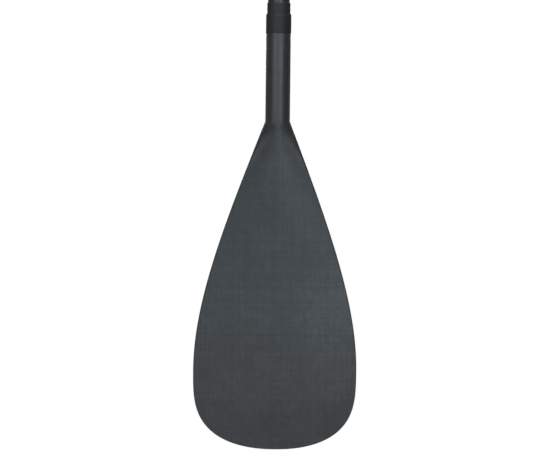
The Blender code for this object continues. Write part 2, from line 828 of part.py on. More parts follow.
CARBON_WEAVE = make_material("carbon_weave", (0.060, 0.067, 0.075), 0.42)
CARBON_TUBE = make_material("carbon_tube", (0.045, 0.050, 0.055), 0.32)
SHRINK = make_material("shrink_sleeve", (0.022, 0.023, 0.026), 0.50)
CLAMP_PLASTIC = make_material("clamp_plastic", (0.018, 0.018, 0.020), 0.45)
GRIP_SHELL = make_material("grip_shell", (0.020, 0.021, 0.023), 0.48)
NYLON = make_material("nylon", (0.50, 0.50, 0.48), 0.50)
RUBBER = make_material("rubber", (0.015, 0.015, 0.015), 0.70)
STEEL = make_material("stainless_steel", (0.62, 0.62, 0.61), 0.28, 1.0)
FOAM = make_material("foam", (0.70, 0.68, 0.58), 0.90)

make_laminate("blade_front_laminate", -1, CARBON_WEAVE)
make_laminate("blade_back_laminate", 1, CARBON_WEAVE)
make_blade_core(FOAM)
make_neck_joint()
make_lower_shaft()
make_upper_shaft()
make_collar()
make_tension_bolt()
make_lever()
make_thumb_nut()
make_grip()
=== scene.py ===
"""Looks of the single blade paddle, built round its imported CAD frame.

Lengths in this script are millimetres where a name or comment says so, and are multiplied by MM.
+Z runs up the shaft and the blade's power face looks along -Y.
"""

import math

import bmesh
import bpy
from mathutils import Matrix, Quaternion, Vector


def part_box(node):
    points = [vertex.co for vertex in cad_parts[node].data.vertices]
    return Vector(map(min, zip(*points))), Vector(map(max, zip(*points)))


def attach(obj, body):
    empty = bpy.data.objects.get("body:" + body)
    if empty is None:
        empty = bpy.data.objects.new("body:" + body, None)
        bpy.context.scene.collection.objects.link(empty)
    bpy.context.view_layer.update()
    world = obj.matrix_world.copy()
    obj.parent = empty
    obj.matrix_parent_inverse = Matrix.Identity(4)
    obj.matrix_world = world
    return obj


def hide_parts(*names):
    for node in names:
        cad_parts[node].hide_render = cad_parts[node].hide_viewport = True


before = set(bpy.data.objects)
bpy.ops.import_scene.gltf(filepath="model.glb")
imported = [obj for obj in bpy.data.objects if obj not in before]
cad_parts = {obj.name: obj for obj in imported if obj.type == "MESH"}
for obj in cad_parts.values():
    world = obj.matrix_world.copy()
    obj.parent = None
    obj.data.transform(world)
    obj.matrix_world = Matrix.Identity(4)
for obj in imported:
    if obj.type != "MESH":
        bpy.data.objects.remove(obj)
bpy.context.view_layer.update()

MM = 0.001
ROUND = 96


def box_mm(node):
    low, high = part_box(node)
    return [c / MM for c in low], [c / MM for c in high]


# ---------------------------------------------------------------- measures from the frame

NECK_TOP = box_mm("blade_front_laminate")[1][2]
TIP_Z = box_mm("blade_front_laminate")[0][2]
SHAFT_R = box_mm("lower_shaft")[1][0]
UPPER_R = box_mm("upper_shaft")[1][0]
SLEEVE_TOP = box_mm("joint_sleeve")[1][2]
SLEEVE_BOTTOM = box_mm("joint_sleeve")[0][2]
SLEEVE_R = box_mm("joint_sleeve")[1][0]

# Blade outline, as the CAD laminates have it
NECK_R = 16.2
FLARE_Z = -155.6
BLADE_LENGTH = FLARE_Z - TIP_Z
BLADE_HALF_WIDTH = box_mm("blade_front_laminate")[1][0]
WIDEST = 105.5
TIP_ROUNDNESS = 2.22
TIP_FULLNESS = 3.3
SHOULDER_ANGLE = math.radians(21.1)
SHOULDER_REACH = 139.8
WIDEST_REACH = 91.5

# Blade section, as the CAD laminates have it
BLADE_CANT = math.radians(10.0)
CANT_BEND = 130.0
EDGE_HALF = 1.5
THROAT_EDGE = 3.2
THROAT_FADE = 34.0
FRONT_THROAT_EDGE = 3.0
FRONT_THROAT_CROWN = 3.5
FRONT_THROAT_FADE = 62.0
WEB_CROWN_TIP = 1.0
WEB_CROWN_GAIN = 3.2
TIP_FADE = 40.0
FRONT_FADE = 30.0
BACK_FADE = 85.0
SPINE_FLARE = 6.0
SPINE_TAPER = 10.0
BLADE_WALL = 1.4

# Tubes, with the slots in the lower one's top end and the key groove in the upper one
LOWER_WALL = 1.2
UPPER_WALL = 1.5
TUBE_EDGE = 0.25
SLOT_BOTTOM = 630.0
SLOT_HALF = 0.8
GROOVE_HALF = 1.3
GROOVE_DEPTH = 0.8
GROOVE_BELOW_TOP = 40.0

# Shrink tubing over the step from the neck to the bare shaft
TUBING = 0.8
SHOULDER_ABOVE_RIM = 3.4
SHOULDER_RUN = 5.0
SHOULDER_SWELL = 0.11
WAIST = 0.20


def smoothstep(low, high, value):
    t = min(1.0, max(0.0, (value - low) / (high - low)))
    return t * t * (3 - 2 * t)


# ---------------------------------------------------------------- mesh helpers


def new_object(name, mesh):
    obj = bpy.data.objects.new(name, mesh)
    bpy.context.scene.collection.objects.link(obj)
    return obj


def shape_object(name, shape, sharp=35.0):
    """An object from a bmesh whose coordinates are millimetres."""
    bmesh.ops.recalc_face_normals(shape, faces=shape.faces)
    bmesh.ops.scale(shape, vec=(MM, MM, MM), verts=shape.verts)
    mesh = bpy.data.meshes.new(name)
    shape.to_mesh(mesh)
    shape.free()
    mesh.shade_smooth()
    mesh.set_sharp_from_angle(angle=math.radians(sharp))
    return new_object(name, mesh)


def bridge(shape, a, b):
    count = len(a)
    for j in range(count):
        k = (j + 1) % count
        shape.faces.new((a[j], a[k], b[k], b[j]))


def hollow_loft(name, outer, inner, weave=None, sharp=35.0):
    """A closed wall: outer and inner stacks of loops, joined at their first loops, capped at the last."""
    shape = bmesh.new()
    layer = shape.verts.layers.float_vector.new("weave") if weave else None
    stacks = []
    for loops in (outer, inner):
        stack = [[shape.verts.new(p) for p in loop] for loop in loops]
        for a, b in zip(stack, stack[1:]):
            bridge(shape, a, b)
        shape.faces.new(stack[-1])
        stacks.append(stack)
    bridge(shape, stacks[0][0], stacks[1][0])
    if weave:
        for stack, rows in zip(stacks, weave):
            for verts, row in zip(stack, rows):
                for vert, value in zip(verts, row):
                    vert[layer] = value
    return shape_object(name, shape, sharp)


def ring_points(radius, z, steps=ROUND):
    return [
        (radius * math.cos(math.tau * j / steps), radius * math.sin(math.tau * j / steps), z)
        for j in range(steps)
    ]


def turned(name, profile, steps=ROUND, ripple=None, sharp=35.0):
    """A ring turned from a closed profile of (radius, height).

    ripple adds a small radius by angle and height.
    """
    shape = bmesh.new()
    loops = []
    for radius, z in profile:
        loop = []
        for j in range(steps):
            angle = math.tau * j / steps
            r = radius + (ripple(angle, z) if ripple else 0.0)
            loop.append(shape.verts.new((r * math.cos(angle), r * math.sin(angle), z)))
        loops.append(loop)
    for a, b in zip(loops, loops[1:] + loops[:1]):
        bridge(shape, a, b)
    return shape_object(name, shape, sharp)


# ---------------------------------------------------------------- material graphs


class Graph:
    """A material with a Principled shader, and short calls for the nodes in front of it."""

    def __init__(self, name, roughness=0.5, metallic=0.0, coat=0.0, coat_roughness=0.3):
        self.material = bpy.data.materials.new(name)
        self.material.use_nodes = True
        self.tree = self.material.node_tree
        self.shader = self.tree.nodes["Principled BSDF"]
        self.set("Roughness", roughness)
        self.set("Metallic", metallic)
        self.set("Coat Weight", coat)
        self.set("Coat Roughness", coat_roughness)
        self.set("IOR", 1.5)

    def set(self, socket, value):
        self.shader.inputs[socket].default_value = value

    def feed(self, socket, source):
        self.tree.links.new(source, self.shader.inputs[socket])

    def plug(self, socket, value):
        if isinstance(value, (int, float)):
            socket.default_value = value
        else:
            self.tree.links.new(value, socket)

    def math(self, operation, a, b=None, c=None):
        node = self.tree.nodes.new("ShaderNodeMath")
        node.operation = operation
        for socket, value in zip(node.inputs, (a, b, c)):
            if value is not None:
                self.plug(socket, value)
        return node.outputs[0]

    def place(self):
        return self.tree.nodes.new("ShaderNodeTexCoord").outputs["Object"]

    def attribute(self, name):
        node = self.tree.nodes.new("ShaderNodeAttribute")
        node.attribute_name = name
        return node.outputs["Vector"]

    def split(self, vector):
        node = self.tree.nodes.new("ShaderNodeSeparateXYZ")
        self.tree.links.new(vector, node.inputs[0])
        return node.outputs

    def stretch(self, vector, scale):
        node = self.tree.nodes.new("ShaderNodeMapping")
        node.inputs["Scale"].default_value = scale
        self.tree.links.new(vector, node.inputs["Vector"])
        return node.outputs[0]

    def noise(self, vector, scale, detail=3.0, roughness=0.5):
        node = self.tree.nodes.new("ShaderNodeTexNoise")
        node.inputs["Scale"].default_value = scale
        node.inputs["Detail"].default_value = detail
        node.inputs["Roughness"].default_value = roughness
        self.tree.links.new(vector, node.inputs["Vector"])
        return node.outputs[0]

    def nearness(self, vector, centre_mm, reach_mm):
        """1 at a centre in x and z, and 0 from the reach along each of them on."""
        scale = (1 / (reach_mm[0] * MM), 0.0, 1 / (reach_mm[1] * MM))
        node = self.tree.nodes.new("ShaderNodeVectorMath")
        node.operation = "DISTANCE"
        self.tree.links.new(self.stretch(vector, scale), node.inputs[0])
        node.inputs[1].default_value = (centre_mm[0] / reach_mm[0], 0.0, centre_mm[1] / reach_mm[1])
        share = self.spread(node.outputs["Value"], 1.0, 0.0)
        square = self.math("MULTIPLY", share, share)
        return self.math("MULTIPLY", square, self.math("MULTIPLY_ADD", share, -2.0, 3.0))

    def chance(self, number):
        """A number from 0 to 1 that is picked by another number."""
        node = self.tree.nodes.new("ShaderNodeTexWhiteNoise")
        node.noise_dimensions = "1D"
        self.tree.links.new(number, node.inputs["W"])
        return node.outputs["Value"]

    def spread(self, value, low, high, from_low=0.0, from_high=1.0):
        node = self.tree.nodes.new("ShaderNodeMapRange")
        self.plug(node.inputs["Value"], value)
        node.inputs["From Min"].default_value = from_low
        node.inputs["From Max"].default_value = from_high
        node.inputs["To Min"].default_value = low
        node.inputs["To Max"].default_value = high
        return node.outputs[0]

    def blend(self, factor, a, b, mode="MIX"):
        node = self.tree.nodes.new("ShaderNodeMix")
        node.data_type = "RGBA"
        node.blend_type = mode
        self.plug(node.inputs[0], factor)
        for socket, value in ((node.inputs[6], a), (node.inputs[7], b)):
            if isinstance(value, tuple):
                socket.default_value = (*value, 1.0)
            else:
                self.tree.links.new(value, socket)
        return node.outputs[2]

    def bump(self, height, distance_mm, strength=1.0, under=None):
        node = self.tree.nodes.new("ShaderNodeBump")
        node.inputs["Distance"].default_value = distance_mm * MM
        node.inputs["Strength"].default_value = strength
        self.tree.links.new(height, node.inputs["Height"])
        if under:
            self.tree.links.new(under, node.inputs["Normal"])
        return node.outputs[0]


def plain_weave(graph, across, along, tow_mm):
    """One tow over, one under. Returns each tow's own tone, and the tows' height."""
    u = graph.math("DIVIDE", across, tow_mm * MM)
    v = graph.math("DIVIDE", along, tow_mm * MM)
    column, row = graph.math("FLOOR", u), graph.math("FLOOR", v)
    over = graph.math("FLOORED_MODULO", graph.math("ADD", column, row), 2.0)
    under = graph.math("SUBTRACT", 1.0, over)
    along_tone = graph.math("MULTIPLY", over, graph.chance(column))
    across_tone = graph.math("MULTIPLY", under, graph.chance(graph.math("ADD", row, 0.5)))
    crown_u = arch(graph, graph.math("SUBTRACT", u, column))
    crown_v = arch(graph, graph.math("SUBTRACT", v, row))
    return graph.math("ADD", along_tone, across_tone), over, graph.math("MULTIPLY", crown_u, crown_v)


def arch(graph, share):
    """1 in the middle of a 0 to 1 share and 0 at its ends."""
    centred = graph.math("MULTIPLY_ADD", share, 2.0, -1.0)
    return graph.math("SUBTRACT", 1.0, graph.math("MULTIPLY", centred, centred))


def carbon(name, colour, where, tow_mm, roughness, coat, coat_roughness, painted_highlights=()):
    """Woven carbon under a satin clear coat.

    where is "weave" for a mesh that carries arc lengths, or a tube's radius in millimetres.
    The last argument lists painted highlights: lighter patches where the soft light falls brighter, as centre
    and reach in x and z, and how much lighter.
    """
    graph = Graph(name, roughness, 0.0, coat, coat_roughness)
    place = graph.place()
    if where == "weave":
        x, y, _ = graph.split(graph.attribute("weave"))
    else:
        px, py, y = graph.split(place)
        x = graph.math("MULTIPLY", graph.math("ARCTAN2", py, px), where * MM)
    tone, over, height = plain_weave(graph, x, y, tow_mm)
    cloudy = graph.spread(graph.noise(place, 26.0, 4.0, 0.6), 0.82, 1.18, 0.3, 0.7)
    wefts = graph.noise(graph.stretch(place, (0.25, 1.0, 1.0)), 330.0, 3.0)
    wefts = graph.spread(wefts, 0.84, 1.16, 0.3, 0.7)
    warps = graph.noise(graph.stretch(place, (1.0, 1.0, 0.14)), 300.0, 3.0)
    warps = graph.spread(warps, 0.78, 1.22, 0.3, 0.7)
    shade = graph.math("MULTIPLY", cloudy, graph.math("MULTIPLY", wefts, warps))
    shade = graph.math("MULTIPLY", shade, graph.spread(tone, 0.8, 1.2))
    # Painted shade and highlight in the weave: each tow is lighter on its crown and darker in the dips
    # between tows.
    shade = graph.math("MULTIPLY", shade, graph.spread(height, 0.8, 1.1))
    # Painted highlights: the listed patches lighten the colour where the light falls brighter on the blade.
    tone_and_painted_light = shade
    for centre, reach, gain in painted_highlights:
        painted_highlight = graph.math("MULTIPLY_ADD", graph.nearness(place, centre, reach), gain, 1.0)
        tone_and_painted_light = graph.math("MULTIPLY", tone_and_painted_light, painted_highlight)
    graph.feed("Base Color", graph.blend(1.0, colour, tone_and_painted_light, "MULTIPLY"))
    rough = graph.math("MULTIPLY_ADD", over, 0.04, graph.spread(tone, roughness + 0.04, roughness - 0.04))
    graph.feed("Roughness", graph.math("ADD", rough, graph.spread(shade, 0.06, -0.06, 0.7, 1.3)))
    graph.feed("Normal", graph.bump(height, 0.04, 0.4))
    peel = graph.noise(place, 210.0, 2.0)
    graph.feed("Coat Normal", graph.bump(peel, 0.04, 0.25))
    return graph.material


def moulded(name, colour, roughness, grain_scale, grain_mm, specular=0.5):
    """Moulded plastic with a fine spark-eroded grain and slightly polished patches."""
    graph = Graph(name, roughness)
    graph.set("Specular IOR Level", specular)
    place = graph.place()
    cloudy = graph.noise(place, 22.0, 3.0)
    fine = graph.noise(place, grain_scale, 4.0, 0.6)
    patches = graph.spread(cloudy, 0.88, 1.14, 0.3, 0.7)
    tone = graph.math("MULTIPLY", patches, graph.spread(fine, 0.9, 1.1, 0.3, 0.7))
    graph.feed("Base Color", graph.blend(1.0, colour, tone, "MULTIPLY"))
    graph.feed("Roughness", graph.spread(cloudy, roughness - 0.06, roughness + 0.08, 0.3, 0.7))
    graph.feed("Normal", graph.bump(fine, grain_mm, 0.6))
    return graph.material


def brushed(name, colour, roughness, stretch):
    graph = Graph(name, roughness, 1.0)
    place = graph.place()
    lines = graph.noise(graph.stretch(place, stretch), 700.0, 3.0)
    spots = graph.noise(place, 180.0, 3.0)
    streaks = graph.spread(lines, 0.86, 1.08, 0.3, 0.7)
    tone = graph.math("MULTIPLY", streaks, graph.spread(spots, 0.92, 1.04, 0.3, 0.7))
    graph.feed("Base Color", graph.blend(1.0, colour, tone, "MULTIPLY"))
    graph.feed("Roughness", graph.spread(lines, roughness - 0.07, roughness + 0.1, 0.3, 0.7))
    graph.feed("Normal", graph.bump(lines, 0.02, 0.5))
    return graph.material


def foam(name, colour):
    graph = Graph(name, 0.9)
    place = graph.place()
    cells = graph.noise(place, 900.0, 3.0)
    share = graph.spread(cells, 0.0, 1.0, 0.35, 0.65)
    graph.feed("Base Color", graph.blend(share, tuple(0.8 * c for c in colour), colour))
    graph.feed("Normal", graph.bump(cells, 0.2, 0.8))
    return graph.material


# ---------------------------------------------------------------- materials

# Painted highlights on the blade, lighter patches where the soft light falls brighter: centre and reach in x
# and z, and gain
PAINTED_HIGHLIGHT_AREAS = (
    ((74.0, -440.0), (62.0, 135.0), 0.45),
    ((-10.0, -510.0), (160.0, 90.0), 0.22),
)
CARBON_BLADE = carbon(
    "carbon_blade", (0.020, 0.020, 0.019), "weave", 1.7, 0.45, 0.5, 0.3, painted_highlights=PAINTED_HIGHLIGHT_AREAS
)
LOWER_TOW = math.tau * SHAFT_R / 56
UPPER_TOW = math.tau * UPPER_R / 50
CARBON_LOWER = carbon("carbon_lower_shaft", (0.012, 0.013, 0.0125), SHAFT_R, LOWER_TOW, 0.47, 0.4, 0.3)
CARBON_UPPER = carbon("carbon_upper_shaft", (0.024, 0.025, 0.025), UPPER_R, UPPER_TOW, 0.42, 0.5, 0.25)
SHRINK = moulded("shrink_tubing", (0.0195, 0.018, 0.0168), 0.5, 1400.0, 0.03, specular=0.21)
CLAMP = moulded("clamp_nylon", (0.017, 0.017, 0.0175), 0.5, 1800.0, 0.05, specular=0.35)
GRIP = moulded("grip_plastic", (0.019, 0.019, 0.019), 0.55, 1500.0, 0.05, specular=0.35)
NYLON = moulded("natural_nylon", (0.55, 0.54, 0.50), 0.5, 1200.0, 0.03)
RUBBER = moulded("seal_rubber", (0.014, 0.014, 0.014), 0.7, 1500.0, 0.03)
STEEL = brushed("stainless", (0.62, 0.62, 0.60), 0.28, (1.0, 1.0, 0.08))
FOAM = foam("core_foam", (0.72, 0.69, 0.58))


# ---------------------------------------------------------------- blade


def bezier(a, b, c, d, t):
    s = 1 - t
    return s**3 * a + 3 * s * s * t * b + 3 * s * t * t * c + t**3 * d


def outline_half_width(z):
    """Half the blade's width at a height: a superellipse at the tip and one curve up to the neck."""
    above_tip = z - TIP_Z
    if above_tip >= BLADE_LENGTH:
        return NECK_R
    if above_tip <= WIDEST:
        share = 1 - above_tip / WIDEST
        return BLADE_HALF_WIDTH * (1 - share**TIP_FULLNESS) ** (1 / TIP_ROUNDNESS)
    shoulder_x = NECK_R + SHOULDER_REACH * math.sin(SHOULDER_ANGLE)
    shoulder_s = BLADE_LENGTH - SHOULDER_REACH * math.cos(SHOULDER_ANGLE)
    low, high = 0.0, 1.0
    for _ in range(40):
        t = (low + high) / 2
        s = bezier(BLADE_LENGTH, shoulder_s, WIDEST + WIDEST_REACH, WIDEST, t)
        low, high = (t, high) if s > above_tip else (low, t)
    return bezier(NECK_R, shoulder_x, BLADE_HALF_WIDTH, BLADE_HALF_WIDTH, t)


def tip_rise(x):
    share = 1 - min(1.0, abs(x) / BLADE_HALF_WIDTH) ** TIP_ROUNDNESS
    return WIDEST * (1 - share ** (1 / TIP_FULLNESS))


def parting_y(z):
    """The blade's middle surface: straight down the neck, then bent back to the cant."""
    depth = max(0.0, FLARE_Z - z)
    t = min(1.0, depth / CANT_BEND)
    bent = CANT_BEND * (t**3 - t**4 / 2)
    return math.tan(BLADE_CANT) * (bent + max(0.0, depth - CANT_BEND))


def throat_fade(depth):
    return math.exp(-((depth / FRONT_THROAT_FADE) ** 1.5))


def edge_thickness(side, depth):
    """Half the edge's thickness. On the power face it starts as the side of the neck and fades slowly."""
    if side < 0:
        return EDGE_HALF + FRONT_THROAT_EDGE * throat_fade(depth)
    return EDGE_HALF + THROAT_EDGE * math.exp(-depth / THROAT_FADE)


def section_point(side, z, angle, width):
    """Outer surface at a height, as x and y, with the edge rounded over. side is -1 for the power face."""
    depth = max(0.0, FLARE_Z - z)
    u = math.sin(angle)
    x = width * u
    inside = max(0.0, 1 - u * u)
    distance = width - abs(x)
    if z - TIP_Z <= WIDEST:
        rise = max(0.0, z - TIP_Z - tip_rise(x))
        distance = distance * rise / max(1e-9, math.hypot(distance, rise))
    edge = edge_thickness(side, depth)
    nose = math.sqrt(1 - (1 - min(1.0, distance / edge)) ** 2)
    spread = smoothstep(0, 40, depth)
    web = WEB_CROWN_TIP + WEB_CROWN_GAIN * (1 - depth / BLADE_LENGTH)
    web *= smoothstep(0, TIP_FADE, z - TIP_Z) * spread
    if side < 0:
        edge *= smoothstep(0, 26, depth)
        web += FRONT_THROAT_CROWN * spread * throat_fade(depth)
        crown = web + (NECK_R - web - edge) * math.exp(-((depth / FRONT_FADE) ** 2))
        return x, parting_y(z) - edge * nose - crown * inside ** (0.5 + 0.5 * smoothstep(0, 26, depth))
    edge *= smoothstep(-24, 8, FLARE_Z - z)
    ridge = (NECK_R - edge) * math.exp(-((depth / BACK_FADE) ** 1.1))
    base = NECK_R + SPINE_FLARE * smoothstep(0, 50, depth)
    base -= SPINE_TAPER * smoothstep(50, 300, depth)
    base = min(base, width)
    power = 0.5 + 1.0 * smoothstep(0, 45, depth)
    spine = ridge * max(0.0, 1 - (x / base) ** 2) ** power
    return x, parting_y(z) + edge * nose + web * inside + spine


BLADE_COLUMNS = 112


def column_angles(z):
    gather = 0.35 * smoothstep(0, 60, FLARE_Z - z)
    shares = [2 * j / BLADE_COLUMNS - 1 for j in range(BLADE_COLUMNS + 1)]
    return [math.pi / 2 * (s * (1 - gather) + s**3 * gather) for s in shares]


def outer_loop(z):
    """One section of the outside, from the left edge across the power face and back behind it."""
    width = outline_half_width(z)
    angles = column_angles(z)
    front = [(*section_point(-1, z, a, width), z) for a in angles]
    back = [(*section_point(1, z, a, width), z) for a in angles]
    return front + back[-2:0:-1], arc_lengths(front) + arc_lengths(back)[-2:0:-1]


def arc_lengths(row):
    """For each point of half a section, its distance along the surface from the middle, and its height."""
    middle = len(row) // 2
    lengths = [0.0]
    for a, b in zip(row, row[1:]):
        lengths.append(lengths[-1] + math.hypot(b[0] - a[0], b[1] - a[1]))
    return [((s - lengths[middle]) * MM, p[2] * MM, 0.0) for s, p in zip(lengths, row)]


def inner_half(side, z, width, angles):
    """The hollow's wall, moved in from the outside square to the section's outline."""
    step = math.radians(0.5)
    row = []
    for angle in angles:
        a = max(-math.pi / 2 + step, min(math.pi / 2 - step, angle))
        x0, y0 = section_point(side, z, a - step, width)
        x1, y1 = section_point(side, z, a + step, width)
        x, y = section_point(side, z, a, width)
        length = math.hypot(x1 - x0, y1 - y0)
        in_x, in_y = side * (y1 - y0) / length, -side * (x1 - x0) / length
        row.append((x + in_x * BLADE_WALL, y + in_y * BLADE_WALL, z))
    return row


def inner_loop(z):
    """One section of the hollow, or None where the walls leave no room."""
    width = outline_half_width(z)
    low, high = 0.0, math.pi / 2
    for _ in range(24):
        angle = (low + high) / 2
        front = inner_half(-1, z, width, [angle])[0][1]
        back = inner_half(1, z, width, [angle])[0][1]
        low, high = (angle, high) if back - front > 0.6 else (low, angle)
    if low < 0.4:
        return None
    spacing = 2 * low / BLADE_COLUMNS
    angles = [spacing * (j - BLADE_COLUMNS / 2) for j in range(BLADE_COLUMNS + 1)]
    front = inner_half(-1, z, width, angles)
    back = inner_half(1, z, width, angles)
    return front + back[-2:0:-1]


def blade_heights():
    """Rows of the blade from its neck down: even steps in width round the tip, even steps in height above."""
    heights = [NECK_TOP - step for step in (0.0, 0.4, 1.2)]
    heights += [NECK_TOP + (FLARE_Z + 6 - NECK_TOP) * i / 16 for i in range(1, 17)]
    z = FLARE_Z + 4
    corner = TIP_Z + tip_rise(0.8 * BLADE_HALF_WIDTH)
    while z > corner + 1.0:
        heights.append(z)
        z -= 1.5 + 1.7 * smoothstep(0, 70, FLARE_Z - z)
    heights += [TIP_Z + tip_rise(0.8 * BLADE_HALF_WIDTH * k / 52) for k in range(52, 1, -1)]
    return heights


def make_blade():
    heights = blade_heights()
    outer, weave = zip(*(outer_loop(z) for z in heights))
    inner_heights = [NECK_TOP] + [z for z in heights[4::3] if z > TIP_Z + 30]
    inner = [loop for loop in (inner_loop(z) for z in inner_heights) if loop]
    flat = [[(0.0, 0.0, 0.0)] * len(loop) for loop in inner]
    blade = hollow_loft("blade_shell", outer, inner, weave=(weave, flat), sharp=60)
    blade.data.materials.append(CARBON_BLADE)
    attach(blade, "blade_section")
    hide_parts("blade_front_laminate", "blade_back_laminate")


# ---------------------------------------------------------------- joint sleeve and shafts


def make_joint_sleeve():
    """Shrink tubing drawn tight over the neck's rim, with the faint ripples that it takes when heated."""
    top, bottom, rim = SLEEVE_TOP, SLEEVE_BOTTOM, NECK_TOP
    narrow = SHAFT_R + TUBING
    profile = [(narrow - 0.25, top), (narrow - 0.06, top - 0.12), (narrow, top - 0.4)]
    steps = 22
    low = rim + SHOULDER_ABOVE_RIM
    end = low - SHOULDER_RUN
    profile += [(narrow, top - 0.4 - (top - 0.4 - low) * i / 8) for i in range(1, 8)]
    for i in range(steps + 1):
        t = i / steps
        shoulder = smoothstep(0.0, 0.78, t)
        swell = SHOULDER_SWELL * math.exp(-(((t - 0.86) / 0.14) ** 2))
        swell -= WAIST * math.exp(-(((t - 0.12) / 0.14) ** 2))
        profile.append((narrow + (SLEEVE_R - 0.12 - narrow) * shoulder + swell, low - SHOULDER_RUN * t))
    profile += [(SLEEVE_R - 0.10, end + (bottom + 0.5 - end) * i / 12) for i in range(1, 13)]
    profile += [(SLEEVE_R - 0.16, bottom + 0.15), (SLEEVE_R - 0.34, bottom)]
    profile += [(NECK_R + 0.12, bottom), (NECK_R + 0.12, rim + 0.2)]
    profile += [(SHAFT_R + 0.1, rim + 0.2), (SHAFT_R + 0.1, top)]

    def ripple(angle, z):
        if z > top - 0.3 or z < bottom + 0.3:
            return 0.0
        wave = math.sin(3 * angle + 0.35 * z) + 0.6 * math.sin(5 * angle - 0.9 * z + 1.0)
        return 0.022 * wave

    sleeve = turned("joint_sleeve_skin", profile, ripple=ripple, sharp=50)
    sleeve.data.materials.append(SHRINK)
    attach(sleeve, "blade_section")
    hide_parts("joint_sleeve")


def wall_grid(name, outer, inner, keep, sharp=35.0):
    """A closed wall between two stacks of rings, without the cells that keep refuses."""
    shape = bmesh.new()
    rows, columns = len(outer), len(outer[0])
    skins = [[[shape.verts.new(p) for p in ring] for ring in stack] for stack in (outer, inner)]
    uses = {}
    for i in range(rows - 1):
        for j in range(columns):
            if not keep(i, j):
                continue
            k = (j + 1) % columns
            corners = ((i, j), (i, k), (i + 1, k), (i + 1, j))
            for skin in skins:
                shape.faces.new([skin[a][b] for a, b in corners])
            for pair in zip(corners, corners[1:] + corners[:1]):
                key = tuple(sorted(pair))
                uses[key] = uses.get(key, 0) + 1
    for (a, b), count in uses.items():
        if count == 1:
            (ai, aj), (bi, bj) = a, b
            shape.faces.new((skins[0][ai][aj], skins[0][bi][bj], skins[1][bi][bj], skins[1][ai][aj]))
    bmesh.ops.delete(shape, geom=[v for v in shape.verts if not v.link_faces], context="VERTS")
    return shape_object(name, shape, sharp)


def polar(radius, angle, z):
    return (radius * math.cos(angle), radius * math.sin(angle), z)


def make_lower_shaft():
    """The fixed tube. Three slots let its top end close on the upper shaft."""
    low, high = box_mm("lower_shaft")
    bore, soft, across = SHAFT_R - LOWER_WALL, TUBE_EDGE, 32
    rows = [(low[2], soft), (low[2] + soft, 0.0)]
    slot_row = len(rows) + 12
    rows += [(low[2] + (SLOT_BOTTOM - low[2]) * i / 13, 0.0) for i in range(1, 14)]
    rows += [(high[2] - soft, 0.0), (high[2], soft)]

    def rings(radius, bend):
        half = math.asin(SLOT_HALF / radius)
        angles = []
        for turn in (90, 210, 330):
            start = math.radians(turn)
            span = math.radians(120) - 2 * half
            angles += [start + half + span * j / across for j in range(across + 1)]
        return [[polar(radius + bend * inset, a, z) for a in angles] for z, inset in rows]

    def keep(i, j):
        return i < slot_row or j % (across + 1) != across

    shaft = wall_grid("lower_shaft_tube", rings(SHAFT_R, -1), rings(bore, 1), keep)
    shaft.data.materials.append(CARBON_LOWER)
    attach(shaft, "blade_section")
    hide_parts("lower_shaft")


def make_upper_shaft():
    """The sliding tube, with the key groove down its front."""
    low, high = box_mm("upper_shaft")
    bore, soft = UPPER_R - UPPER_WALL, TUBE_EDGE
    groove_top = high[2] - GROOVE_BELOW_TOP
    rows = [(low[2], soft, 1), (low[2] + soft, 0.0, 1)]
    rows += [(low[2] + (groove_top - 2.0 - low[2]) * i / 14, 0.0, 1) for i in range(1, 15)]
    rows += [(groove_top, 0.0, 0)]
    rows += [(groove_top + (high[2] - soft - groove_top) * i / 3, 0.0, 0) for i in (1, 2, 3)]
    rows += [(high[2], soft, 0)]
    sides = (GROOVE_HALF + 0.06, GROOVE_HALF - 0.06, 0.6)
    offsets = [-x for x in sides] + [0.0] + list(reversed(sides))
    angles = [math.asin(x / UPPER_R) - math.pi / 2 for x in offsets]
    start, end = angles[-1], angles[0] + math.tau
    angles += [start + (end - start) * j / 90 for j in range(1, 90)]
    outer, inner = [], []
    for z, inset, cut in rows:
        ring = [polar(UPPER_R - inset, a, z) for a in angles]
        if cut:
            for j in range(1, 6):
                x, y, _ = ring[j]
                ring[j] = (x, min(-UPPER_R + GROOVE_DEPTH, y + GROOVE_DEPTH), z)
        outer.append(ring)
        inner.append([polar(bore + inset, a, z) for a in angles])
    shaft = wall_grid("upper_shaft_tube", outer, inner, lambda i, j: True)
    shaft.data.materials.append(CARBON_UPPER)
    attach(shaft, "grip_section")
    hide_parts("upper_shaft")


# ---------------------------------------------------------------- grip

# Height above the grip's foot, half width, half depth
GRIP_SECTIONS = (
    (0.0, 13.0, 13.0),
    (12.0, 13.1, 13.1),
    (22.0, 13.6, 13.4),
    (29.0, 15.2, 13.8),
    (34.0, 18.4, 14.2),
    (38.5, 24.5, 14.6),
    (42.0, 32.5, 14.9),
    (45.5, 42.0, 15.0),
    (49.5, 50.0, 15.0),
    (54.0, 54.6, 14.8),
    (59.0, 56.0, 14.2),
    (63.5, 53.5, 12.9),
    (67.5, 47.5, 10.8),
    (70.5, 39.0, 8.2),
    (72.8, 28.0, 5.2),
    (73.9, 14.0, 2.2),
    (74.09, 1.5, 0.3),
)
GRIP_HALF_WIDTH = max(half_width for _, half_width, _ in GRIP_SECTIONS)
GRIP_WALL = 1.8
SEAM_HALF = 0.4
SEAM_DEPTH = 0.35


